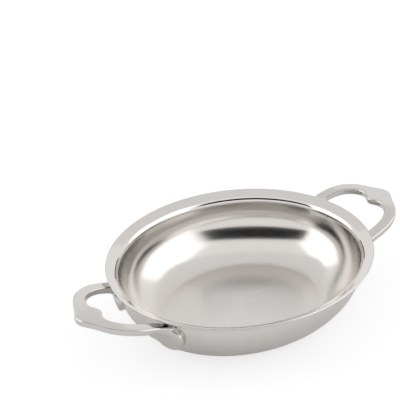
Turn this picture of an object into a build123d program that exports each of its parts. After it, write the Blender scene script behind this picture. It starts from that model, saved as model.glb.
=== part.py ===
from build123d import *
from math import asin, cos, exp, pi, radians, sin, sqrt
import os

# Overall sizes of the oval dish, in millimetres. The long axis lies along X.
# The origin is under the middle of the dish, on the surface it stands on.
rim_length = 203.0
rim_width = 176.0
rim_height = 45.0

# The clad sheet that the bowl is drawn from, layer by layer from outside.
exterior_thickness = 0.4
core_thickness = 0.9
cooking_thickness = 0.4

# The bowl's section, from the flat floor up to the flared lip.
corner_radius = 19.0
corner_turn = 30.0
belly_radius = 48.0
belly_turn = 30.0
lip_width = 7.8
lip_slope = 28.0
lip_root_radius = 4.0
floor_ring_width = 10.0
floor_ring_lap = 5.0

# The cast loop handles, seen from above, along the middle of the bar.
handle_projection = 29.7
handle_bend_length = 31.2
handle_half_span = 30.7
handle_squareness = 2.25
loop_steps = 24

# How often the pads' bearing is worked out again from the last one.
bearing_rounds = 12

# The bar's section, and the wider thumb rest at its middle.
bar_width = 8.8
bar_thickness = 5.3
bar_edge_radius = 1.5
thumb_rest_width = 19.4
thumb_rest_spread = 8.0

# How high the bar's top lies over the rim, and how far it sinks to the wall.
handle_lift = 4.4
handle_sink = 12.0
handle_sink_power = 1.6

# The foot of each bar grows taller as it meets its round pad.
foot_bite = 2.0
foot_splay = 2.5
foot_height = 13.0
foot_steps = 3

# The round pads lie on the wall under the lip, at the end of each foot.
pad_drop = 16.8
pad_diameter = 21.4
pad_thickness = 4.4
pad_dome_radius = 50.0
pad_edge_radius = 1.6

# The weld nuggets that join each pad to the wall.
nugget_diameter = 5.0
nugget_pitch = 9.0
nugget_depth_in_pad = 0.8
nugget_depth_in_wall = 0.3

# How deep the handles are trimmed to the shape of the wall.
trim_depth = 8.0

rim_half_length = rim_length / 2
rim_half_width = rim_width / 2
handle_reach = rim_half_length + handle_projection
handle_bend_start = handle_reach - handle_bend_length
core_outside = exterior_thickness
core_inside = exterior_thickness + core_thickness
sheet_thickness = core_inside + cooking_thickness


def arc_point(centre, radius, angle):
    """The point of a circle at an angle in degrees from the outward direction."""
    turn = radians(angle)
    return (centre[0] + radius * cos(turn), centre[1] + radius * sin(turn))


def bowl_section(depth):
    """The points of the bowl's section at a depth into the sheet from outside.

    Each point is (distance outward from the rim's edge, height). The section
    runs along the floor, round three tangent arcs to an upright wall, then
    round the lip's root and out along the straight lip.
    """
    slope = radians(lip_slope)
    lip_run = (lip_width - lip_root_radius * (1 - sin(slope))) / cos(slope)
    lip_rise = lip_run * sin(slope) + lip_root_radius * cos(slope)
    wall_top = rim_height - lip_rise

    corner_end = corner_turn - 90
    belly_end = corner_end + belly_turn
    corner_rise = corner_radius * (1 - cos(radians(corner_turn)))
    belly_rise = belly_radius * (sin(radians(belly_end)) - sin(radians(corner_end)))
    shoulder_radius = (wall_top - corner_rise - belly_rise) / -sin(radians(belly_end))

    shoulder_centre = (-lip_width - shoulder_radius, wall_top)
    belly_centre = arc_point(shoulder_centre, shoulder_radius - belly_radius, belly_end)
    corner_centre = arc_point(belly_centre, belly_radius - corner_radius, corner_end)
    root_centre = (-lip_width + lip_root_radius, wall_top)
    root_end = 90 + lip_slope

    return {
        "floor_inner": (corner_centre[0] - floor_ring_width, depth),
        "floor_edge": arc_point(corner_centre, corner_radius - depth, -90),
        "corner_middle": arc_point(corner_centre, corner_radius - depth, (corner_end - 90) / 2),
        "corner_end": arc_point(corner_centre, corner_radius - depth, corner_end),
        "belly_middle": arc_point(belly_centre, belly_radius - depth, (corner_end + belly_end) / 2),
        "belly_end": arc_point(belly_centre, belly_radius - depth, belly_end),
        "shoulder_middle": arc_point(shoulder_centre, shoulder_radius - depth, belly_end / 2),
        "wall_top": (-lip_width - depth, wall_top),
        "root_middle": arc_point(root_centre, lip_root_radius + depth, (180 + root_end) / 2),
        "root_end": arc_point(root_centre, lip_root_radius + depth, root_end),
        "lip_edge": (-depth * sin(slope), rim_height + depth * cos(slope)),
    }


def at_rim(point):
    """A section point placed in the plane through the dish's long axis."""
    return (rim_half_length + point[0], 0, point[1])


def wall_edges(section):
    """The three arcs from the floor's edge to the top of the upright wall."""
    p = {name: at_rim(point) for name, point in section.items()}
    return [
        ThreePointArc(p["floor_edge"], p["corner_middle"], p["corner_end"]),
        ThreePointArc(p["corner_end"], p["belly_middle"], p["belly_end"]),
        ThreePointArc(p["belly_end"], p["shoulder_middle"], p["wall_top"]),
    ]


def section_edges(section):
    """The whole section line, from inside the floor ring to the lip's edge."""
    p = {name: at_rim(point) for name, point in section.items()}
    floor = [Line(p["floor_inner"], p["floor_edge"])]
    root = [ThreePointArc(p["wall_top"], p["root_middle"], p["root_end"])]
    lip = [Line(p["root_end"], p["lip_edge"])]
    return floor + wall_edges(section) + root + lip


def round_the_rim(edges):
    """Carry a closed section once round the oval, square to it all the way."""
    path = Wire(Edge.make_ellipse(rim_half_length, rim_half_width))
    return sweep(Face(Wire(edges)), path=path)


def floor_disc(low, high, inset):
    """The oval slab that closes a swept ring, lapping over its floor."""
    oval = Ellipse(rim_half_length - inset, rim_half_width - inset)
    return extrude(Pos(0, 0, low) * oval, high - low)


def make_layer(outer_depth, inner_depth):
    """One layer of the clad sheet, between two depths from the outside."""
    outer = bowl_section(outer_depth)
    inner = bowl_section(inner_depth)
    ends = [
        Line(at_rim(outer["floor_inner"]), at_rim(inner["floor_inner"])),
        Line(at_rim(outer["lip_edge"]), at_rim(inner["lip_edge"])),
    ]
    ring = round_the_rim(section_edges(outer) + section_edges(inner) + ends)
    inset = -outer["floor_inner"][0] - floor_ring_lap
    return ring + floor_disc(outer_depth, inner_depth, inset)


def wall_lean(below_rim):
    """How far the shoulder has come in from the wall's top, and its slope."""
    section = bowl_section(0)
    fall = radians(90 - corner_turn - belly_turn)
    wall_top = section["wall_top"][1]
    shoulder_radius = (wall_top - section["belly_end"][1]) / sin(fall)
    slope = (wall_top - (rim_height - below_rim)) / shoulder_radius
    return shoulder_radius * (1 - sqrt(1 - slope ** 2)), slope


def rim_point(bearing):
    """A point of the rim's oval, and the level direction square to it there."""
    point = Vector(rim_half_length * cos(bearing), rim_half_width * sin(bearing))
    outward = Vector(rim_half_width * cos(bearing), rim_half_length * sin(bearing))
    return point, outward.normalized()


def pad_bearing():
    """The bearing round the oval that puts a pad's face at the end of a foot."""
    face_inset = lip_width + wall_lean(pad_drop)[0] - pad_thickness
    across = handle_half_span + foot_splay
    bearing = 0.0
    for _ in range(bearing_rounds):
        outward = rim_point(bearing)[1]
        bearing = asin((across + face_inset * outward.Y) / rim_half_width)
    return bearing


def wall_place(side, shift=0.0):
    """The place where a pad's middle meets the wall, Z being square to the wall.

    shift moves the place along the wall, away from the long axis.
    """
    bearing = pad_bearing()
    stretch = Vector(rim_half_length * sin(bearing), rim_half_width * cos(bearing)).length
    point, outward = rim_point(bearing + shift / stretch)
    lean, slope = wall_lean(pad_drop)
    place = point - outward * (lip_width + lean)
    level = sqrt(1 - slope ** 2)
    return Plane(
        origin=(place.X, side * place.Y, rim_height - pad_drop),
        x_dir=(-side * outward.Y, outward.X, 0),
        z_dir=(outward.X * level, side * outward.Y * level, -slope),
    )


def foot_end():
    """How far out along X the feet end, a little inside the wall."""
    return wall_place(1).origin.X - foot_bite


def bar_top(reach):
    """The height of the bar's top face at a distance out along X."""
    sunk = (handle_reach - reach) / (handle_reach - foot_end())
    return rim_height + handle_lift - handle_sink * sunk ** handle_sink_power


def bar_section(middle, heading, width, height):
    """One upright section across the bar, hung from the bar's top line."""
    plane = Plane(
        origin=(middle[0], middle[1], bar_top(middle[0]) - height / 2),
        x_dir=(-heading[1], heading[0], 0),
        z_dir=(heading[0], heading[1], 0),
    )
    return plane * RectangleRounded(width, height, bar_edge_radius)


def loop_section(turn):
    """The bar's section at an angle round its loop, 0 at the thumb rest."""
    power = 2 / handle_squareness
    side = 1 if turn > 0 else -1
    reach = handle_bend_start + handle_bend_length * abs(cos(turn)) ** power
    across = side * handle_half_span * abs(sin(turn)) ** power
    run_out = -side * handle_bend_length * abs(sin(turn)) ** (2 - power)
    run_across = handle_half_span * abs(cos(turn)) ** (2 - power)
    run = Vector(run_out, run_across).normalized()
    swell = exp(-((across / thumb_rest_spread) ** 2))
    width = bar_width + (thumb_rest_width - bar_width) * swell
    return bar_section((reach, across), (run.X, run.Y), width, bar_thickness)


def foot_section(side, share):
    """A section of the bar's foot; share is 0 at the loop and 1 at the wall."""
    reach = handle_bend_start - (handle_bend_start - foot_end()) * share
    across = side * (handle_half_span + foot_splay * share ** 2)
    height = bar_thickness + (foot_height - bar_thickness) * share ** 2
    return bar_section((reach, across), (-side, 0), bar_width, height)


def make_bar():
    """The bar of one handle, from one foot round the loop to the other."""
    shares = [step / foot_steps for step in range(1, foot_steps + 1)]
    turns = [pi * (step / loop_steps - 0.5) for step in range(loop_steps + 1)]
    sections = [foot_section(-1, share) for share in reversed(shares)]
    sections += [loop_section(turn) for turn in turns]
    sections += [foot_section(1, share) for share in shares]
    return loft(sections, ruled=True)


def make_pad(side):
    """One round pad with a slightly domed face and a rounded edge."""
    blank = Pos(0, 0, pad_thickness - pad_dome_radius) * Sphere(pad_dome_radius)
    disc = Cylinder(pad_diameter / 2, 2 * pad_thickness) & blank
    rims = disc.edges().filter_by(lambda edge: abs(edge.length - pi * pad_diameter) < 0.01)
    rim = rims.sort_by(Axis.Z)[-1]
    return wall_place(side) * fillet(rim, pad_edge_radius)


def make_nuggets(side):
    """The two weld nuggets under one pad."""
    depth = nugget_depth_in_pad + nugget_depth_in_wall
    lift = (nugget_depth_in_pad - nugget_depth_in_wall) / 2
    nugget = Pos(0, 0, lift) * Cylinder(nugget_diameter / 2, depth)
    return [wall_place(side, shift) * nugget for shift in (-nugget_pitch / 2, nugget_pitch / 2)]


def make_wall_trim():
    """What the outside of the bowl takes off a handle that is laid on it."""
    outer = bowl_section(0)
    inner = bowl_section(trim_depth)
    ends = [
        Line(at_rim(outer["floor_inner"]), at_rim(inner["floor_inner"])),
        Line(at_rim(outer["lip_edge"]), at_rim(inner["lip_edge"])),
    ]
    return round_the_rim(section_edges(outer) + section_edges(inner) + ends)


def mirrored(solids):
    """The same solids at the other end of the dish."""
    return [mirror(solid, Plane.YZ) for solid in solids]


def write_node(name, solids):
    """Writes one node, made of one solid or a group of separate ones."""
    os.makedirs("parts", exist_ok=True)
    shape = solids[0] if len(solids) == 1 else Compound(children=solids)
    shape.label = name
    export_step(shape, os.path.join("parts", name + ".step"))
    volume = sum(solid.volume for solid in solids)
    print(name, round(volume, 1), "mm3 in", len(solids), "solids")


nuggets = {"front": make_nuggets(-1), "back": make_nuggets(1)}
right_nuggets = nuggets["front"] + nuggets["back"]

wall_trim = make_wall_trim()
right_handle = make_bar() - wall_trim - right_nuggets
for side in (-1, 1):
    right_handle += make_pad(side) - wall_trim - make_nuggets(side)

exterior_ply = make_layer(0, core_outside)
exterior_ply = exterior_ply - right_nuggets - mirrored(right_nuggets)

write_node("exterior_ply", [exterior_ply])
write_node("aluminium_core", [make_layer(core_outside, core_inside)])
write_node("cooking_surface", [make_layer(core_inside, sheet_thickness)])
write_node("right_handle", [right_handle])
write_node("left_handle", mirrored([right_handle]))
for end, pair in nuggets.items():
    write_node("right_" + end + "_weld", pair)
    write_node("left_" + end + "_weld", mirrored(pair))
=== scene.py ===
# %% [markdown]
# # An oval baking dish with two cast loop handles
#
# The real dish is drawn from clad sheet: a satin stainless cooking surface, an
# aluminium core that spreads the heat, and a stainless exterior. Its lip flares
# outwards and ends in a half-round edge, where the three layers show. Two cast
# handles are welded under the lip, one at each end of the long axis.
#
# The engineering model is loaded first. It fixes where everything is, so each
# piece made here is drawn straight into its place, in metres.

# %% Load the engineering model
import math

import bmesh
import bpy
from mathutils import Matrix, Vector


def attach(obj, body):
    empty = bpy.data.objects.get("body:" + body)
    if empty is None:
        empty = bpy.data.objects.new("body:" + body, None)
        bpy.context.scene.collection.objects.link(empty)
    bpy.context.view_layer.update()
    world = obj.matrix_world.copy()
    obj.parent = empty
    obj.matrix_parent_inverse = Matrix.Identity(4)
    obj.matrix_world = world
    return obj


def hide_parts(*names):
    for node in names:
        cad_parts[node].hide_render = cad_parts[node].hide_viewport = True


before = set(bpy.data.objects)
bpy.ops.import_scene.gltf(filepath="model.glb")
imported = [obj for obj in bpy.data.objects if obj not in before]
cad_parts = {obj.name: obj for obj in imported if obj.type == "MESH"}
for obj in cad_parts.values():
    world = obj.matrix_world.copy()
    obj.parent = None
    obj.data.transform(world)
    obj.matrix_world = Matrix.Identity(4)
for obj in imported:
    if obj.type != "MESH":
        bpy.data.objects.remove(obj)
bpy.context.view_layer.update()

mm = 0.001


# %% [markdown]
# ## Camera
#
# The dish is seen from above one of its long sides, a little towards one end,
# through a long lens, so the oval rim hardly tapers with distance. A short lens
# up close would give the same width in the frame but would swell the near side.
# The camera looks at a point in the plane of the rim, as a photographer would
# who focuses on the lip.

# %% Place the camera
lens_length = 161.0
sensor_width = 36.0
rim_plane = 45.5 * mm
camera_place = Vector((-669.8 * mm, -843.3 * mm, 698.5 * mm + rim_plane))
camera_target = Vector((22.6 * mm, 78.7 * mm, rim_plane))


def aim(thing, target):
    """Turns a camera, panel or card so that its front faces a point."""
    heading = (target - thing.location).normalized()
    thing.rotation_euler = heading.to_track_quat("-Z", "Y").to_euler()


camera_data = bpy.data.cameras.new("long_lens")
camera_data.lens = lens_length
camera_data.sensor_width = sensor_width
camera = bpy.data.objects.new("camera", camera_data)
camera.location = camera_place
aim(camera, camera_target)
bpy.context.collection.objects.link(camera)
bpy.context.scene.camera = camera
bpy.context.scene.view_settings.view_transform = "Standard"
print("camera distance, in m:", round((camera_target - camera_place).length, 3))

# %% [markdown]
# ## Small helpers for meshes
#
# Every piece starts as a bmesh, Blender's editable mesh, and is turned into an
# object at the end. The object stays at the origin and the shape sits in the
# mesh itself, which keeps the patterns of the materials still and lets the
# finished mesh go to other programs without any turning. Faces that meet at a
# small angle are shaded as one smooth surface, and real corners stay crisp.

# %% Turn a bmesh into a finished piece
corner_angle = math.radians(32)


def finish_mesh(bm, name):
    """Makes an object of a bmesh, smooth but for its real corners."""
    mesh = bpy.data.meshes.new(name)
    bm.to_mesh(mesh)
    bm.free()
    mesh.shade_smooth()
    mesh.set_sharp_from_angle(angle=corner_angle)
    thing = bpy.data.objects.new(name, mesh)
    bpy.context.collection.objects.link(thing)
    print(name, "has", len(mesh.polygons), "faces")
    return thing


# %% [markdown]
# ## The section of the bowl
#
# A drawn bowl has one section all the way round: a flat floor, a tight corner,
# a long belly, a shoulder that ends upright, a small root and a straight lip.
# All of them are arcs that run into each other without a kink, because sheet
# metal doesn't crease in the die. The section is written as points at a depth
# into the sheet, so each layer of the clad sheet gets its own two surfaces from
# the same few sizes. A point is (distance outward from the rim's edge, height).
# The lip's edge is ground half-round, which catches one thin line of light and
# tells the eye that the sheet has a thickness.

# %% Draw the section
rim_half_length = 101.5 * mm
rim_half_width = 88.0 * mm
rim_height = 45.0 * mm
corner_radius = 19.0 * mm
belly_radius = 48.0 * mm
corner_turn = 30.0
belly_turn = 30.0
lip_width = 7.8 * mm
lip_root_radius = 4.0 * mm
lip_slope = math.radians(28.0)
sheet_thickness = 1.7 * mm
corner_steps = 8
wall_steps = 12
root_steps = 10
lip_steps = 5
edge_steps = 5

lip_run = (lip_width - lip_root_radius * (1 - math.sin(lip_slope))) / math.cos(lip_slope)
lip_rise = lip_run * math.sin(lip_slope) + lip_root_radius * math.cos(lip_slope)
wall_top = rim_height - lip_rise
corner_end = corner_turn - 90
belly_end = corner_end + belly_turn
corner_rise = corner_radius * (1 - math.cos(math.radians(corner_turn)))
belly_rise = belly_radius * (math.sin(math.radians(belly_end)) - math.sin(math.radians(corner_end)))
shoulder_radius = (wall_top - corner_rise - belly_rise) / -math.sin(math.radians(belly_end))


def on_arc(centre, radius, angle):
    """The point of a circle at an angle in degrees from the outward direction."""
    turn = math.radians(angle)
    return (centre[0] + radius * math.cos(turn), centre[1] + radius * math.sin(turn))


shoulder_centre = (-lip_width - shoulder_radius, wall_top)
belly_centre = on_arc(shoulder_centre, shoulder_radius - belly_radius, belly_end)
corner_centre = on_arc(belly_centre, belly_radius - corner_radius, corner_end)
root_centre = (-lip_width + lip_root_radius, wall_top)
floor_edge = corner_centre[0]


def arc_points(centre, radius, start, end, steps):
    """Points along an arc, without its first one."""
    turns = [start + (end - start) * step / steps for step in range(1, steps + 1)]
    return [on_arc(centre, radius, turn) for turn in turns]


def lip_end(depth):
    """Where the lip ends at a depth, on the half-round edge of the sheet."""
    edge_radius = sheet_thickness / 2
    from_middle = min(abs(depth - edge_radius), edge_radius)
    pulled_in = edge_radius - math.sqrt(edge_radius ** 2 - from_middle ** 2)
    outward = -depth * math.sin(lip_slope) - pulled_in * math.cos(lip_slope)
    height = rim_height + depth * math.cos(lip_slope) - pulled_in * math.sin(lip_slope)
    return (outward, height)


def edge_points(outer_depth, inner_depth):
    """Points along the half-round edge, between two depths."""
    shares = [step / edge_steps for step in range(1, edge_steps)]
    return [lip_end(outer_depth + (inner_depth - outer_depth) * share) for share in shares]


def section_line(depth):
    """The section from the floor's flat edge up to the lip's end."""
    root_end = 90 + math.degrees(lip_slope)
    points = [(floor_edge, depth)]
    points += arc_points(corner_centre, corner_radius - depth, -90, corner_end, corner_steps)
    points += arc_points(belly_centre, belly_radius - depth, corner_end, belly_end, wall_steps)
    points += arc_points(shoulder_centre, shoulder_radius - depth, belly_end, 0, wall_steps)
    points += arc_points(root_centre, lip_root_radius + depth, 180, root_end, root_steps)
    lip_start = points[-1]
    lip_edge = lip_end(depth)
    for step in range(1, lip_steps + 1):
        share = step / lip_steps
        points.append(tuple(a + (b - a) * share for a, b in zip(lip_start, lip_edge)))
    return points


print("shoulder radius, in mm:", round(shoulder_radius / mm, 2))
print("the floor is flat from this far inside the rim, in mm:", round(-floor_edge / mm, 2))

# %% [markdown]
# ## Spinning the section into an oval
#
# Spinning the section round the middle gives a round bowl. The rim of the real
# one is an oval, yet its lip is as wide at the ends as at the sides, which
# stretching a round bowl would spoil. So every point of the round bowl is moved
# to the same distance inside the oval, measured square to the oval's edge, and
# only the flat floor is stretched to fill what is left.

# %% Spin a section and lay it round the oval
around_steps = 240
floor_rings = 6
merge_distance = 0.001 * mm


def oval_place(co):
    """Where a point of the round bowl belongs on the oval one."""
    bearing = math.atan2(co.y, co.x)
    distance = math.hypot(co.x, co.y) - rim_half_length
    edge = Vector((rim_half_length * math.cos(bearing), rim_half_width * math.sin(bearing), 0))
    square = Vector((rim_half_width * math.cos(bearing), rim_half_length * math.sin(bearing), 0))
    square.normalize()
    if distance >= floor_edge:
        place = edge + square * distance
    else:
        share = (distance + rim_half_length) / (floor_edge + rim_half_length)
        place = (edge + square * floor_edge) * share
    return Vector((place.x, place.y, co.z))


def spun_layer(outer_depth, inner_depth):
    """A closed layer of the sheet between two depths, as a bmesh."""
    floor_radius = rim_half_length + floor_edge
    rings = [floor_radius * ring / floor_rings - rim_half_length for ring in range(floor_rings)]
    outer = [(ring, outer_depth) for ring in rings]
    inner = [(ring, inner_depth) for ring in rings]
    outline = outer + section_line(outer_depth) + edge_points(outer_depth, inner_depth)
    outline += list(reversed(inner + section_line(inner_depth)))
    bm = bmesh.new()
    verts = [bm.verts.new((rim_half_length + place[0], 0, place[1])) for place in outline]
    edges = [bm.edges.new(pair) for pair in zip(verts, verts[1:])]
    bmesh.ops.spin(
        bm,
        geom=verts + edges,
        cent=(0, 0, 0),
        axis=(0, 0, 1),
        angle=math.tau,
        steps=around_steps,
        use_merge=True,
    )
    bmesh.ops.remove_doubles(bm, verts=bm.verts, dist=merge_distance)
    for vert in bm.verts:
        vert.co = oval_place(vert.co)
    bmesh.ops.recalc_face_normals(bm, faces=bm.faces)
    return bm


# %% [markdown]
# ## The three layers of clad sheet
#
# Clad sheet is rolled as one plate, but each layer keeps its own metal and its
# own finish, so each one is a piece. Each is spun between its own two depths,
# and all three share the half-round edge of the lip, so they meet there without
# a step, as they do when the edge is ground after drawing.

# %% Make the layers
exterior_thickness = 0.4 * mm
core_end_depth = 1.3 * mm

exterior = finish_mesh(spun_layer(0.0, exterior_thickness), "exterior_sheet")
core = finish_mesh(spun_layer(exterior_thickness, core_end_depth), "aluminium_core_sheet")
cooking = finish_mesh(spun_layer(core_end_depth, sheet_thickness), "cooking_sheet")

plies = (
    (exterior, "exterior_ply"),
    (core, "aluminium_core"),
    (cooking, "cooking_surface"),
)
for piece, node in plies:
    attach(piece, "root")
    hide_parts(node)

# %% [markdown]
# ## Where a handle meets the wall
#
# A handle stands on two round pads that lie flat on the wall, just under the
# lip. The wall leans and curves there, so the pad's place is worked out from
# the section and from the oval, as a jig would hold it: first how far the wall
# has come in at that height, then the bearing round the oval at which the pad's
# face meets the end of the handle's bar.

# %% Find the pads' place
handle_reach = rim_half_length + 29.7 * mm
handle_bend_length = 31.2 * mm
handle_bend_start = handle_reach - handle_bend_length
handle_half_span = 30.7 * mm
handle_squareness = 2.25
pad_drop = 16.8 * mm
pad_radius = 10.7 * mm
pad_thickness = 4.4 * mm
foot_splay = 2.5 * mm
foot_bite = 2.0 * mm
bearing_rounds = 12

wall_slope = (wall_top - (rim_height - pad_drop)) / shoulder_radius
wall_lean = shoulder_radius * (1 - math.sqrt(1 - wall_slope ** 2))


def rim_place(bearing):
    """A point of the rim's oval and the level direction square to it."""
    edge = Vector((rim_half_length * math.cos(bearing), rim_half_width * math.sin(bearing), 0))
    square = Vector((rim_half_width * math.cos(bearing), rim_half_length * math.sin(bearing), 0))
    return edge, square.normalized()


def find_pad_bearing():
    """The bearing that puts a pad's face at the end of a foot."""
    face_inset = lip_width + wall_lean - pad_thickness
    across = handle_half_span + foot_splay
    bearing = 0.0
    for _ in range(bearing_rounds):
        square = rim_place(bearing)[1]
        bearing = math.asin((across + face_inset * square.y) / rim_half_width)
    return bearing


def pad_frame(side):
    """A matrix that lays a pad on the wall, its Z square to the wall."""
    edge, square = rim_place(find_pad_bearing())
    place = edge - square * (lip_width + wall_lean)
    level = math.sqrt(1 - wall_slope ** 2)
    outward = Vector((square.x * level, side * square.y * level, -wall_slope))
    along = Vector((-side * square.y, square.x, 0))
    upward = outward.cross(along)
    rows = [(along[i], upward[i], outward[i]) for i in range(3)]
    centre = Vector((place.x, side * place.y, rim_height - pad_drop))
    return Matrix.Translation(centre) @ Matrix(rows).to_4x4()


foot_end = pad_frame(1).translation.x - foot_bite
print("pad middle, in mm:", [round(value / mm, 1) for value in pad_frame(1).translation])

# %% [markdown]
# ## The bar of a handle
#
# The bar is cast: a flat-topped strip that runs out from one pad, round a
# squarish loop with a wider thumb rest at its middle, and back to the other
# pad. It could be a curve with a bevel, but a curve keeps one section, and this
# bar grows wide at the thumb rest and tall at its feet. So a square face is
# extruded from station to station, and at each one it is turned, widened and
# heightened. A bevel along the four long edges then gives the cast rounding.

# %% Extrude the bar
bar_width = 8.8 * mm
bar_thickness = 5.3 * mm
bar_edge_radius = 1.3 * mm
thumb_rest_width = 19.4 * mm
thumb_rest_spread = 8.0 * mm
handle_lift = 4.4 * mm
handle_sink = 12.0 * mm
handle_sink_power = 1.6
foot_height = 13.0 * mm
foot_steps = 10
loop_steps = 96


def bar_top(reach):
    """The height of the bar's top face at a distance out along X."""
    sunk = max(0.0, handle_reach - reach) / (handle_reach - foot_end)
    return rim_height + handle_lift - handle_sink * sunk ** handle_sink_power


def station(reach, across, heading, width, height):
    """A matrix that carries a unit square to one station of the bar."""
    sideways = Vector((-heading.y, heading.x, 0)) * width
    rows = [
        (sideways.x, 0, heading.x, reach),
        (sideways.y, 0, heading.y, across),
        (0, height, 0, bar_top(reach) - height / 2),
        (0, 0, 0, 1),
    ]
    return Matrix(rows)


def loop_station(turn):
    """A station at an angle round the loop, 0 at the thumb rest."""
    power = 2 / handle_squareness
    side = 1 if turn > 0 else -1
    reach = handle_bend_start + handle_bend_length * abs(math.cos(turn)) ** power
    across = side * handle_half_span * abs(math.sin(turn)) ** power
    run_out = -side * handle_bend_length * abs(math.sin(turn)) ** (2 - power)
    run_across = handle_half_span * abs(math.cos(turn)) ** (2 - power)
    heading = Vector((run_out, run_across, 0)).normalized()
    swell = math.exp(-((across / thumb_rest_spread) ** 2))
    width = bar_width + (thumb_rest_width - bar_width) * swell
    return station(reach, across, heading, width, bar_thickness)


def foot_station(side, share):
    """A station of a foot; share is 0 at the loop and 1 at the wall."""
    reach = handle_bend_start - (handle_bend_start - foot_end) * share
    across = side * (handle_half_span + foot_splay * share ** 2)
    height = bar_thickness + (foot_height - bar_thickness) * share ** 2
    return station(reach, across, Vector((-side, 0, 0)), bar_width, height)


def bar_stations():
    """Every station of the bar, from one foot round the loop to the other."""
    shares = [step / foot_steps for step in range(1, foot_steps + 1)]
    turns = [math.pi * (step / loop_steps - 0.5) for step in range(loop_steps + 1)]
    stations = [foot_station(-1, share) for share in reversed(shares)]
    stations += [loop_station(turn) for turn in turns]
    stations += [foot_station(1, share) for share in shares]
    return stations


def make_bar():
    """The whole bar of one handle, as a bmesh."""
    stations = bar_stations()
    bm = bmesh.new()
    square = ((-0.5, -0.5), (0.5, -0.5), (0.5, 0.5), (-0.5, 0.5))
    corners = [bm.verts.new((x, y, 0)) for x, y in square]
    face = bm.faces.new(corners)
    bmesh.ops.transform(bm, matrix=stations[0], verts=corners)
    for before, after in zip(stations, stations[1:]):
        made = bmesh.ops.extrude_face_region(bm, geom=[face])["geom"]
        face = next(part for part in made if isinstance(part, bmesh.types.BMFace))
        move = after @ before.inverted()
        bmesh.ops.transform(bm, matrix=move, verts=face.verts)
    bm.verts.index_update()
    long_edges = [edge for edge in bm.edges if len({vert.index // 4 for vert in edge.verts}) == 2]
    bmesh.ops.recalc_face_normals(bm, faces=bm.faces)
    bmesh.ops.bevel(
        bm,
        geom=long_edges,
        offset=bar_edge_radius,
        segments=4,
        profile=0.5,
        affect="EDGES",
        clamp_overlap=True,
        material=-1,
    )
    return bm


# %% [markdown]
# ## The round pads
#
# Each pad is a shallow disc with a slightly domed face and a well rounded edge.
# Its profile is spun about the pad's own axis and then laid on the wall. It
# starts thicker than it looks, because the back is cut to the wall's shape
# afterwards, which makes it sit there without a gap.

# %% Spin a pad
pad_edge_radius = 1.6 * mm
pad_dome_radius = 50.0 * mm
pad_back = -4.4 * mm
pad_steps = 96


def make_pad(side):
    """One pad in its place on the wall, as a bmesh."""
    flat_radius = pad_radius - pad_edge_radius
    outline = []
    for step in range(7):
        radius = flat_radius * step / 6
        outline.append((radius, pad_thickness - radius ** 2 / (2 * pad_dome_radius)))
    edge_centre = (flat_radius, outline[-1][1] - pad_edge_radius)
    outline += arc_points(edge_centre, pad_edge_radius, 90, 0, 6)
    outline += [(pad_radius, pad_back), (0.0, pad_back)]
    bm = bmesh.new()
    verts = [bm.verts.new((radius, 0, height)) for radius, height in outline]
    edges = [bm.edges.new(pair) for pair in zip(verts, verts[1:])]
    bmesh.ops.spin(
        bm,
        geom=verts + edges,
        cent=(0, 0, 0),
        axis=(0, 0, 1),
        angle=math.tau,
        steps=pad_steps,
        use_merge=True,
    )
    bmesh.ops.remove_doubles(bm, verts=bm.verts, dist=merge_distance)
    bmesh.ops.transform(bm, matrix=pad_frame(side), verts=bm.verts)
    bmesh.ops.recalc_face_normals(bm, faces=bm.faces)
    return bm


# %% [markdown]
# ## Casting bar and pads into one piece
#
# In a casting, the bar runs into its pads through soft fillets. Modelling each
# fillet by hand is slow and seldom even. Here the three parts are wrapped in one
# skin of small even squares, a voxel remesh, and the skin is relaxed a little,
# which rounds every inside corner as poured and polished metal does. The back
# is then cut with the outside of the bowl, so the pads lie on the wall.

# %% Remesh, relax and trim the handle
skin_size = 0.4 * mm
relax_rounds = 5
trim_depth = 8.0 * mm


def with_modifier(thing, kind, **settings):
    """The mesh that a piece has once one modifier has worked on it."""
    modifier = thing.modifiers.new(kind.lower(), kind)
    for name, value in settings.items():
        setattr(modifier, name, value)
    shown = thing.evaluated_get(bpy.context.evaluated_depsgraph_get())
    mesh = bpy.data.meshes.new_from_object(shown)
    thing.modifiers.clear()
    return mesh


def bmesh_of(mesh):
    """A bmesh read from a mesh."""
    bm = bmesh.new()
    bm.from_mesh(mesh)
    return bm


def joined(parts, name):
    """One object made of several bmeshes that overlap."""
    whole = bmesh.new()
    for part in parts:
        mesh = bpy.data.meshes.new("part")
        part.to_mesh(mesh)
        part.free()
        whole.from_mesh(mesh)
    return finish_mesh(whole, name)


rough_cast = joined([make_bar(), make_pad(-1), make_pad(1)], "rough_cast")
skin = bmesh_of(with_modifier(rough_cast, "REMESH", mode="VOXEL", voxel_size=skin_size))
for _ in range(relax_rounds):
    bmesh.ops.smooth_vert(
        skin,
        verts=skin.verts,
        factor=0.5,
        use_axis_x=True,
        use_axis_y=True,
        use_axis_z=True,
    )
relaxed = finish_mesh(skin, "relaxed_cast")
trim = finish_mesh(spun_layer(0.0, trim_depth), "wall_trim")
trimmed = with_modifier(relaxed, "BOOLEAN", object=trim, operation="DIFFERENCE", solver="MANIFOLD")


def largest_shell(bm):
    """Keeps the largest connected part of a bmesh and drops loose crumbs."""
    left = set(bm.verts)
    shells = []
    while left:
        shell = {left.pop()}
        front = list(shell)
        while front:
            vert = front.pop()
            for edge in vert.link_edges:
                other = edge.other_vert(vert)
                if other in left:
                    left.remove(other)
                    shell.add(other)
                    front.append(other)
        shells.append(shell)
    shells.sort(key=len)
    crumbs = [vert for shell in shells[:-1] for vert in shell]
    bmesh.ops.delete(bm, geom=crumbs, context="VERTS")
    return len(shells) - 1


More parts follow.
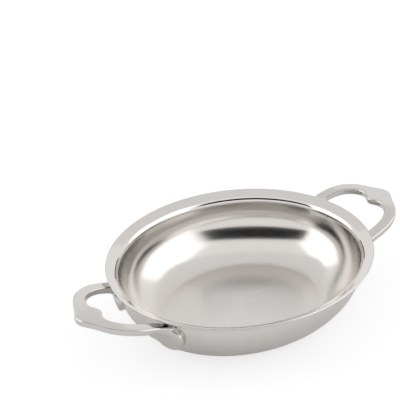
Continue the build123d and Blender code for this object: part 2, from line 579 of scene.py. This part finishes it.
right_bm = bmesh_of(trimmed)
print("crumbs left by the trim:", largest_shell(right_bm))
left_bm = right_bm.copy()
bmesh.ops.scale(left_bm, vec=(-1, 1, 1), verts=left_bm.verts)
bmesh.ops.reverse_faces(left_bm, faces=left_bm.faces)
handles = {
    "right_handle": finish_mesh(right_bm, "right_cast_handle"),
    "left_handle": finish_mesh(left_bm, "left_cast_handle"),
}
for node, piece in handles.items():
    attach(piece, "root")
    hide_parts(node)
for helper in (rough_cast, relaxed, trim):
    bpy.data.objects.remove(helper)

# %% [markdown]
# ## Metal finishes
#
# Bare metal has hardly any colour of its own: what is seen is the room, and the
# finish decides how sharply. Satin sheet is worked round and round by a belt,
# which leaves hair-fine lines that follow the oval. They are a noise that is
# stretched along the lines: it changes fast across them, and slowly along them.
# The noise nudges the roughness and makes a bump too fine to feel. Colours
# are set on the shader itself, so they would survive an export to other programs.

# %% Helpers for materials
def new_finish(name, color, roughness, metallic=1.0):
    """A material with its shader, ready for a pattern."""
    material = bpy.data.materials.new(name)
    material.use_nodes = True
    nodes = material.node_tree.nodes
    shader = nodes["Principled BSDF"]
    shader.inputs["Base Color"].default_value = (*color, 1)
    shader.inputs["Roughness"].default_value = roughness
    shader.inputs["Metallic"].default_value = metallic
    return material, shader


def add_node(material, kind, **settings):
    """A new node with its settings, sockets by name included."""
    node = material.node_tree.nodes.new(kind)
    for name, value in settings.items():
        if name in node.inputs:
            node.inputs[name].default_value = value
        else:
            setattr(node, name, value)
    return node


def connect(material, source, target):
    """A link between two sockets."""
    material.node_tree.links.new(source, target)


def math_node(material, operation, first, second=None):
    """A Math node fed by sockets or plain numbers; returns its result."""
    node = add_node(material, "ShaderNodeMath", operation=operation)
    for place, value in enumerate((first, second)):
        if isinstance(value, (int, float)):
            node.inputs[place].default_value = value
        elif value is not None:
            connect(material, value, node.inputs[place])
    return node.outputs[0]


def spread(material, value, low, high):
    """Maps a value from 0 to 1 onto a range."""
    node = add_node(material, "ShaderNodeMapRange")
    connect(material, value, node.inputs["Value"])
    node.inputs["To Min"].default_value = low
    node.inputs["To Max"].default_value = high
    return node.outputs["Result"]


def add_bump(material, shader, height, strength, distance):
    """Raises the surface by a pattern, a very small way."""
    bump = add_node(material, "ShaderNodeBump", Strength=strength, Distance=distance)
    connect(material, height, bump.inputs["Height"])
    connect(material, bump.outputs["Normal"], shader.inputs["Normal"])


# %% [markdown]
# ### Satin grain round the oval
#
# To follow the oval, the pattern needs two numbers at each point: how far out it
# is, as a share of the oval, and which way it lies. The direction is kept as a
# short vector and not as an angle, because an angle jumps where it starts again
# and would leave a seam. Distance and height run fast, so the lines are thin.
# The belt reaches the floor less evenly than the wall, and the lip gets a last
# polish, so the roughness also falls with height.

# %% Satin stainless
across_scale = 1500.0
along_scale = 5.0
steel_color = (0.70, 0.675, 0.65)
ramp_height = 50.0 * mm
roughness_swing = 0.06
grain_bump = 0.04
grain_depth = 0.02 * mm


def grain_lines(material, place):
    """A noise drawn out along the oval; place is the Object coordinates."""
    flat = add_node(material, "ShaderNodeVectorMath", operation="MULTIPLY")
    flat.inputs[1].default_value = (1.0, rim_half_length / rim_half_width, 0.0)
    connect(material, place, flat.inputs[0])
    distance = add_node(material, "ShaderNodeVectorMath", operation="LENGTH")
    connect(material, flat.outputs[0], distance.inputs[0])
    direction = add_node(material, "ShaderNodeVectorMath", operation="NORMALIZE")
    connect(material, flat.outputs[0], direction.inputs[0])
    slow = add_node(material, "ShaderNodeVectorMath", operation="SCALE")
    slow.inputs["Scale"].default_value = along_scale
    connect(material, direction.outputs[0], slow.inputs[0])
    height = add_node(material, "ShaderNodeSeparateXYZ")
    connect(material, place, height.inputs[0])
    fast_height = math_node(material, "MULTIPLY", height.outputs["Z"], across_scale)
    fast_distance = math_node(material, "MULTIPLY", distance.outputs["Value"], across_scale)
    parts = add_node(material, "ShaderNodeSeparateXYZ")
    connect(material, slow.outputs[0], parts.inputs[0])
    where = add_node(material, "ShaderNodeCombineXYZ")
    connect(material, parts.outputs["X"], where.inputs["X"])
    connect(material, parts.outputs["Y"], where.inputs["Y"])
    connect(material, fast_height, where.inputs["Z"])
    lines = add_node(material, "ShaderNodeTexNoise", noise_dimensions="4D", Scale=1.0)
    lines.inputs["Detail"].default_value = 3.0
    lines.inputs["Roughness"].default_value = 0.6
    connect(material, where.outputs[0], lines.inputs["Vector"])
    connect(material, fast_distance, lines.inputs["W"])
    return lines.outputs[0]


def roughness_by_height(material, place, levels):
    """A roughness that follows the height; each level is (height, roughness)."""
    height = add_node(material, "ShaderNodeSeparateXYZ")
    connect(material, place, height.inputs[0])
    share = math_node(material, "DIVIDE", height.outputs["Z"], ramp_height)
    ramp = add_node(material, "ShaderNodeValToRGB")
    stops = ramp.color_ramp.elements
    while len(stops) < len(levels):
        stops.new(0.5)
    for stop, (level_height, roughness) in zip(stops, levels):
        stop.position = level_height / ramp_height
        stop.color = (roughness, roughness, roughness, 1)
    connect(material, share, ramp.inputs[0])
    return ramp.outputs[0]


def satin_stainless(name, levels, anisotropy):
    """Belt-finished stainless sheet."""
    material, shader = new_finish(name, steel_color, levels[0][1])
    place = add_node(material, "ShaderNodeTexCoord").outputs["Object"]
    lines = grain_lines(material, place)
    clouds = add_node(material, "ShaderNodeTexNoise", Scale=22.0, Detail=2.0)
    connect(material, place, clouds.inputs["Vector"])
    mixed = math_node(material, "ADD", lines, clouds.outputs[0])
    mixed = math_node(material, "MULTIPLY", mixed, 0.5)
    uneven = spread(material, mixed, -roughness_swing / 2, roughness_swing / 2)
    by_height = roughness_by_height(material, place, levels)
    rough = math_node(material, "ADD", by_height, uneven)
    connect(material, rough, shader.inputs["Roughness"])
    add_bump(material, shader, lines, grain_bump, grain_depth)
    shader.inputs["Anisotropic"].default_value = anisotropy
    tangent = add_node(material, "ShaderNodeTangent", direction_type="RADIAL", axis="Z")
    connect(material, tangent.outputs[0], shader.inputs["Tangent"])
    return material


# %% [markdown]
# The two sides of the sheet share one finish and differ in their roughness. The
# levels are heights over the table, between which the roughness blends evenly.
# The inside is dull on the floor and bright on the wall, while the outside stays
# fairly dull up to the shoulder. Both are brightest on the lip.

# %% Finish the sheet
floor_level = 2.0 * mm
belly_level = 8.0 * mm
wall_level = 30.0 * mm
shoulder_level = 31.0 * mm
root_level = 39.0 * mm
cooking_levels = (
    (floor_level, 0.28),
    (belly_level, 0.17),
    (shoulder_level, 0.16),
    (root_level, 0.10),
)
exterior_levels = (
    (0.0, 0.27),
    (wall_level, 0.23),
    (root_level, 0.14),
)
cooking_finish = satin_stainless("satin_cooking_surface", cooking_levels, anisotropy=0.4)
exterior_finish = satin_stainless("satin_exterior", exterior_levels, anisotropy=0.3)
cooking.data.materials.append(cooking_finish)
exterior.data.materials.append(exterior_finish)

# %% [markdown]
# ### The core's cut edge
#
# Where the sheet is cut, the aluminium core shows between the two skins. The
# edge is polished with them, so the core hardly stands out: it is a little
# greyer and rougher than the steel, with short marks from the wheel.

# %% Cut aluminium
aluminium_color = (0.66, 0.65, 0.64)


def cut_aluminium():
    """Polished aluminium with fine wheel marks."""
    material, shader = new_finish("cut_aluminium", aluminium_color, 0.22)
    place = add_node(material, "ShaderNodeTexCoord").outputs["Object"]
    marks = add_node(material, "ShaderNodeTexNoise", Scale=900.0, Detail=3.0)
    connect(material, place, marks.inputs["Vector"])
    rough = spread(material, marks.outputs[0], low=0.15, high=0.3)
    connect(material, rough, shader.inputs["Roughness"])
    add_bump(material, shader, marks.outputs[0], strength=0.1, distance=0.02 * mm)
    return material


core.data.materials.append(cut_aluminium())

# %% [markdown]
# ### Polished casting
#
# The handles are cast and then polished on a wheel. Polishing leaves them
# shinier than the sheet, but a casting is never as flat as rolled metal: its
# surface rolls very gently, and reflections waver along it. One slow noise
# gives the wavering, and a fast one the last traces of the polishing wheel.

# %% Polished cast stainless
casting_color = (0.64, 0.62, 0.595)
trace_share = 0.04


def polished_casting():
    """Cast stainless from the polishing wheel."""
    material, shader = new_finish("polished_casting", casting_color, 0.1)
    place = add_node(material, "ShaderNodeTexCoord").outputs["Object"]
    rolling = add_node(material, "ShaderNodeTexNoise", Scale=90.0, Detail=1.0)
    connect(material, place, rolling.inputs["Vector"])
    traces = add_node(material, "ShaderNodeTexNoise", Scale=1400.0, Detail=3.0)
    connect(material, place, traces.inputs["Vector"])
    rough = spread(material, traces.outputs[0], low=0.06, high=0.14)
    connect(material, rough, shader.inputs["Roughness"])
    fine = math_node(material, "MULTIPLY", traces.outputs[0], trace_share)
    height = math_node(material, "ADD", rolling.outputs[0], fine)
    add_bump(material, shader, height, strength=0.15, distance=0.12 * mm)
    return material


casting = polished_casting()
for piece in handles.values():
    piece.data.materials.append(casting)

# %% [markdown]
# ### Weld metal
#
# The weld nuggets are buried between pad and wall. They keep the engineering
# model's own meshes, and are given the dull, faintly heat-tinted look that a
# weld has, for anyone who takes the handle off.

# %% Weld metal
weld_color = (0.55, 0.52, 0.47)
straw_tint = (0.50, 0.43, 0.33, 1)
bare_tint = (0.60, 0.58, 0.56, 1)


def weld_metal():
    """Rough weld metal with a trace of straw-coloured heat tint."""
    material, shader = new_finish("weld_metal", weld_color, 0.5)
    place = add_node(material, "ShaderNodeTexCoord").outputs["Object"]
    ripple = add_node(material, "ShaderNodeTexNoise", Scale=600.0, Detail=4.0)
    connect(material, place, ripple.inputs["Vector"])
    tint = add_node(material, "ShaderNodeValToRGB")
    tint.color_ramp.elements[0].color = straw_tint
    tint.color_ramp.elements[1].color = bare_tint
    connect(material, ripple.outputs[0], tint.inputs[0])
    connect(material, tint.outputs[0], shader.inputs["Base Color"])
    add_bump(material, shader, ripple.outputs[0], strength=0.4, distance=0.1 * mm)
    return material


weld = weld_metal()
for name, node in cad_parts.items():
    if name.endswith("_weld"):
        node.data.materials.clear()
        node.data.materials.append(weld)
        print("weld metal on", name)

# %% [markdown]
# ## The studio
#
# Bright metal is photographed in a white room, with broad soft panels at both
# sides and one overhead, so that smooth surfaces have something calm to mirror.
# All-white would leave the bowl flat, though. The gap between the front and the
# top of such a set is dark, and the bowl mirrors it as a dark band along its
# far wall and as a thin dark line on the root of the lip. A dark card stands in
# for that gap, and two small ones at the back for the gaps beside the backdrop.
# They are hidden from the camera and throw no shadow, as they should only be
# seen in the metal.

# %% The white room
room_white = 1.0
room_light = 0.8


def white_room():
    """A plain white surround, softer where it only lights the object."""
    world = bpy.data.worlds.new("white_room")
    world.use_nodes = True
    nodes = world.node_tree.nodes
    links = world.node_tree.links
    background = nodes["Background"]
    background.inputs["Color"].default_value = (1, 1, 1, 1)
    rays = nodes.new("ShaderNodeLightPath")
    seen = nodes.new("ShaderNodeMath")
    seen.operation = "MAXIMUM"
    links.new(rays.outputs["Is Camera Ray"], seen.inputs[0])
    links.new(rays.outputs["Is Glossy Ray"], seen.inputs[1])
    through = nodes.new("ShaderNodeMath")
    through.operation = "MAXIMUM"
    links.new(seen.outputs[0], through.inputs[0])
    links.new(rays.outputs["Is Transmission Ray"], through.inputs[1])
    strength = nodes.new("ShaderNodeMapRange")
    strength.inputs["To Min"].default_value = room_light
    strength.inputs["To Max"].default_value = room_white
    links.new(through.outputs[0], strength.inputs["Value"])
    links.new(strength.outputs["Result"], background.inputs["Strength"])
    bpy.context.scene.world = world


white_room()

# %% [markdown]
# ### The floor
#
# The floor glows a little under its paint. To the camera it glows more, so the
# background is white with a faint shadow, and in the metal it glows less, so
# the shadow under the bowl darkens the foot of its wall.

# %% The floor
floor_color = (0.80, 0.80, 0.80)


def glowing_paint(material, glow, grey):
    """Paint that glows a little, so it looks pale and still shows a shadow."""
    light = add_node(material, "ShaderNodeEmission", Color=(1, 1, 1, 1), Strength=glow)
    paint = add_node(material, "ShaderNodeBsdfDiffuse", Color=(grey, grey, grey, 1))
    both = add_node(material, "ShaderNodeAddShader")
    connect(material, light.outputs[0], both.inputs[0])
    connect(material, paint.outputs[0], both.inputs[1])
    return both.outputs[0]


def either(material, share, first, second):
    """The first shader where the share is 0 and the second where it is 1."""
    mix = add_node(material, "ShaderNodeMixShader")
    connect(material, share, mix.inputs[0])
    connect(material, first, mix.inputs[1])
    connect(material, second, mix.inputs[2])
    return mix.outputs[0]


def studio_floor():
    """A pale floor that stays white to the camera but keeps the shadow."""
    bm = bmesh.new()
    bmesh.ops.create_circle(bm, cap_ends=True, segments=96, radius=3.0)
    floor = finish_mesh(bm, "studio_floor")
    material, shader = new_finish("pale_floor", floor_color, 0.9, metallic=0.0)
    shader.inputs["Specular IOR Level"].default_value = 0.0
    rays = add_node(material, "ShaderNodeLightPath").outputs
    mirrored = math_node(material, "MAXIMUM", rays["Is Glossy Ray"], rays["Is Transmission Ray"])
    in_metal = glowing_paint(material, glow=0.05, grey=0.82)
    to_camera = glowing_paint(material, glow=0.70, grey=0.36)
    look = either(material, mirrored, shader.outputs[0], in_metal)
    look = either(material, rays["Is Camera Ray"], look, to_camera)
    surface = material.node_tree.nodes["Material Output"].inputs["Surface"]
    connect(material, look, surface)
    floor.data.materials.append(material)


studio_floor()

# %% [markdown]
# ### Glowing panels and dark cards
#
# Panels are placed by their bearing from the camera and their height above the
# dish, as one would walk round a table with a stand. A panel is a flat sheet
# that glows, since a lamp would add its light to the white room behind it in a
# mirror. Its strength is the white it shows there, where 1 is the room's own.
# An upright card is given by the elevations of its lower and upper edges at its
# middle, and by how far it reaches to either side, in metres.

# %% Panels and cards
front_bearing = math.atan2(camera_place.y - camera_target.y, camera_place.x - camera_target.x)


def around_dish(bearing, elevation, distance):
    """A point seen from the dish at a bearing from the camera and a height."""
    heading = front_bearing + math.radians(bearing)
    rise = math.radians(elevation)
    level = distance * math.cos(rise)
    height = rim_plane + distance * math.sin(rise)
    return Vector((level * math.cos(heading), level * math.sin(heading), height))


def upright(name, bearing, low, high, distance, left, right):
    """A flat upright card facing the dish, seen between two elevations."""
    bottom = distance * math.tan(math.radians(low))
    top = distance * math.tan(math.radians(high))
    bm = bmesh.new()
    bmesh.ops.create_grid(bm, x_segments=1, y_segments=1, size=0.5)
    bmesh.ops.scale(bm, vec=(left + right, top - bottom, 1), verts=bm.verts)
    bmesh.ops.translate(bm, vec=((right - left) / 2, 0, 0), verts=bm.verts)
    card = finish_mesh(bm, name)
    card.location = around_dish(bearing, 0, distance) + Vector((0, 0, (top + bottom) / 2))
    aim(card, Vector((0, 0, card.location.z)))
    return card


def level_disc(name, height, behind, half_width, half_depth):
    """A flat oval panel over the dish, as a share of its own height."""
    bm = bmesh.new()
    bmesh.ops.create_circle(bm, cap_ends=True, segments=64, radius=height)
    bmesh.ops.scale(bm, vec=(half_depth, half_width, 1), verts=bm.verts)
    turn = Matrix.Rotation(front_bearing, 3, "Z")
    bmesh.ops.rotate(bm, cent=(0, 0, 0), matrix=turn, verts=bm.verts)
    disc = finish_mesh(bm, name)
    disc.location = around_dish(180, 0, behind * height) + Vector((0, 0, height))
    return disc


def as_light(card, white):
    """Makes a card glow; 1 shows in a mirror as the white of the room."""
    material = bpy.data.materials.new(card.name + "_glow")
    material.use_nodes = True
    material.node_tree.nodes.clear()
    glow = add_node(material, "ShaderNodeEmission", Color=(1, 1, 1, 1), Strength=white)
    output = add_node(material, "ShaderNodeOutputMaterial")
    connect(material, glow.outputs[0], output.inputs["Surface"])
    card.data.materials.append(material)
    card.visible_camera = False
    card.visible_shadow = False


cloth_color = (0.012, 0.012, 0.013)


def as_dark(card):
    """Makes a card black, for reflections only."""
    material, shader = new_finish(card.name + "_cloth", cloth_color, 0.9, metallic=0.0)
    shader.inputs["Specular IOR Level"].default_value = 0.0
    card.data.materials.append(material)
    card.visible_camera = False
    card.visible_shadow = False
    card.visible_diffuse = False


# %% [markdown]
# ### Where the panels and cards stand
#
# The side panels are brighter than the room, so the metal turned towards them
# goes to white. The one overhead is a little greyer than the room, and lets the
# lip and the floor of the bowl stay calm and grey between the bright sides.

# %% Set up the panels and cards
panel_white = 1.6
ceiling_white = 0.86
side_panel = {"low": 0, "high": 50, "distance": 1.5, "left": 0.9, "right": 0.9}
back_card = {"low": 3, "high": 12, "distance": 1.7, "left": 0.32, "right": 0.32}
front_gap = upright("front_gap", 0, low=29, high=53, distance=1.7, left=2.95, right=2.1)
ceiling = level_disc("ceiling_panel", height=1.3, behind=0.6, half_width=1.24, half_depth=0.8)
as_light(upright("right_panel", 88, **side_panel), panel_white)
as_light(upright("left_panel", -88, **side_panel), panel_white)
as_light(ceiling, ceiling_white)
as_dark(front_gap)
as_dark(upright("right_back_card", 149, **back_card))
as_dark(upright("left_back_card", -149, **back_card))
